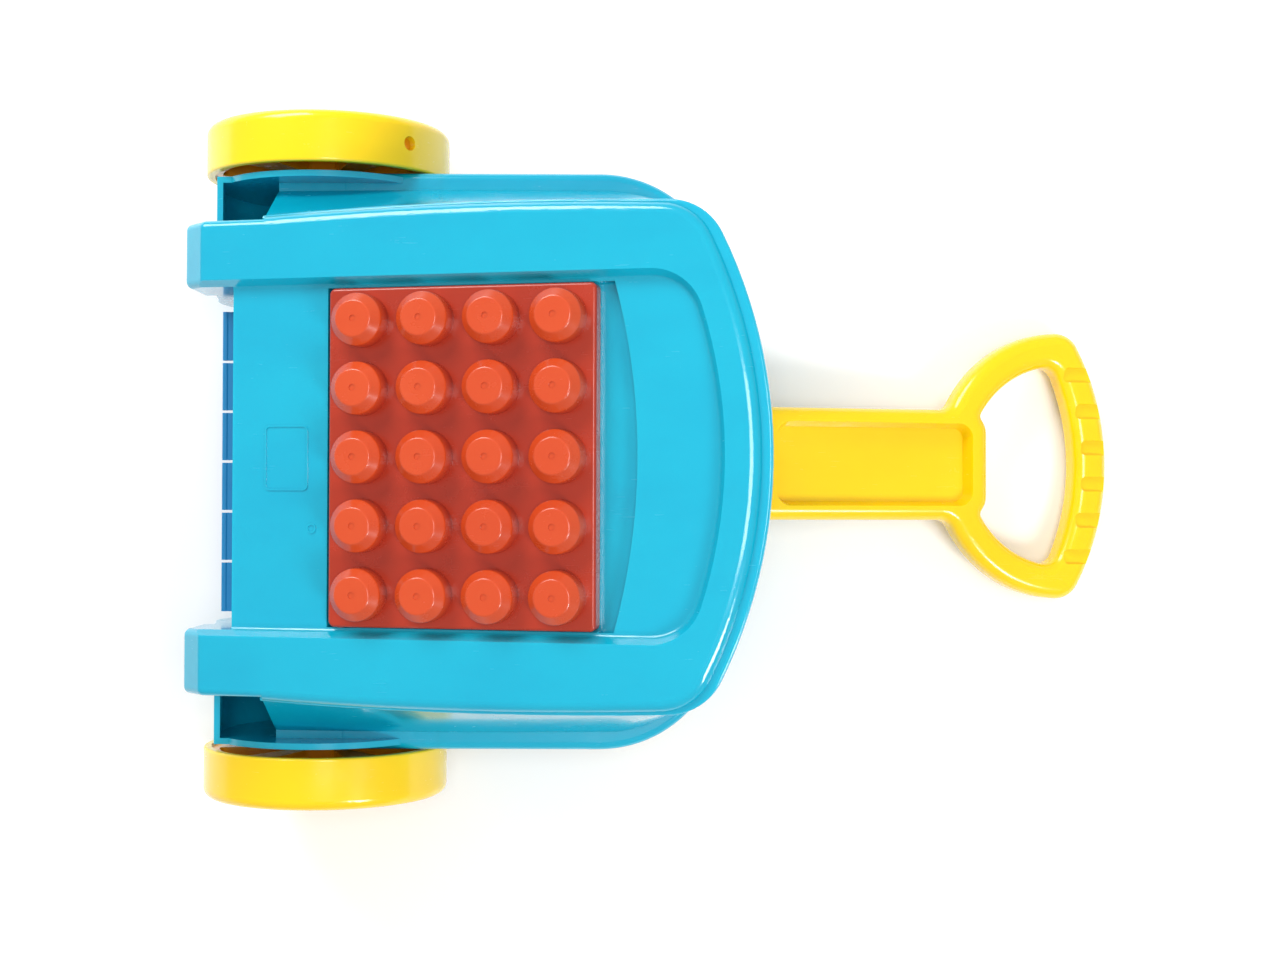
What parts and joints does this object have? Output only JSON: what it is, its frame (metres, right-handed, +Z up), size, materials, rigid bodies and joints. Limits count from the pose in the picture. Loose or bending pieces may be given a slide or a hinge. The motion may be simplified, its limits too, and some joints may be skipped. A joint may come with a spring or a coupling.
{
  "type": "toy block scooper wagon",
  "caption": "Push-along toddler wagon with two large front wheels turning a paddle roller, a stud-topped lid and a hinged D-grip handle.",
  "frame": {"origin": "on the floor under the middle of the whole object, with its handle laid down", "axes": "+X from the mouth to the handle, +Y to the left wheel, +Z up"},
  "size_m": [0.478, 0.342, 0.1998],
  "materials": {
    "blue_plastic": "glossy moulded ABS",
    "deep_blue_plastic": "glossy moulded ABS",
    "blue_rubber": "soft satin moulded elastomer",
    "yellow_plastic": "glossy moulded polypropylene",
    "orange_plastic": "glossy moulded polypropylene",
    "red_plastic": "glossy moulded ABS",
    "steel": "drawn steel rod"
  },
  "bodies": {
    "wagon": {"upper_shell": "blue_plastic", "lower_tub": "blue_plastic", "side_housing_left": "blue_plastic", "side_housing_right": "blue_plastic", "scoop_ramp": "deep_blue_plastic", "shell_screws": "steel", "handle_pin": "steel", "handle_pin_caps": "blue_plastic"},
    "front_axle_set": {"front_axle": "steel", "front_wheel_left": "yellow_plastic", "front_wheel_right": "yellow_plastic", "hub_left": "orange_plastic", "hub_right": "orange_plastic", "hub_cap_left": "orange_plastic", "hub_cap_right": "orange_plastic", "roller_core": "deep_blue_plastic", "paddle_1": "blue_rubber", "paddle_2": "blue_rubber", "paddle_3": "blue_rubber", "paddle_4": "blue_rubber"},
    "rear_axle_set": {"rear_axle": "steel", "rear_wheel_left": "yellow_plastic", "rear_wheel_right": "yellow_plastic", "rear_cap_left": "blue_plastic", "rear_cap_right": "blue_plastic"},
    "lid": {"lid": "red_plastic"},
    "handle": {"handle": "yellow_plastic"}
  },
  "joints": [
    {"name": "front_axle_spin", "type": "hinge", "parent": "wagon", "child": "front_axle_set", "pos_m": [-0.177, 0, 0.062], "axis": [0, -1, 0], "continuous": true},
    {"name": "rear_axle_spin", "type": "hinge", "parent": "wagon", "child": "rear_axle_set", "pos_m": [-0.027, 0, 0.022], "axis": [0, -1, 0], "continuous": true},
    {"name": "lid_hinge", "type": "hinge", "parent": "wagon", "child": "lid", "pos_m": [-0.15599, 0, 0.14626], "axis": [0, -1, 0], "range_deg": [0, 60]},
    {"name": "handle_hinge", "type": "hinge", "parent": "wagon", "child": "handle", "pos_m": [0.04, 0, 0.06], "axis": [0, -1, 0], "range_deg": [0, 95]}
  ]
}
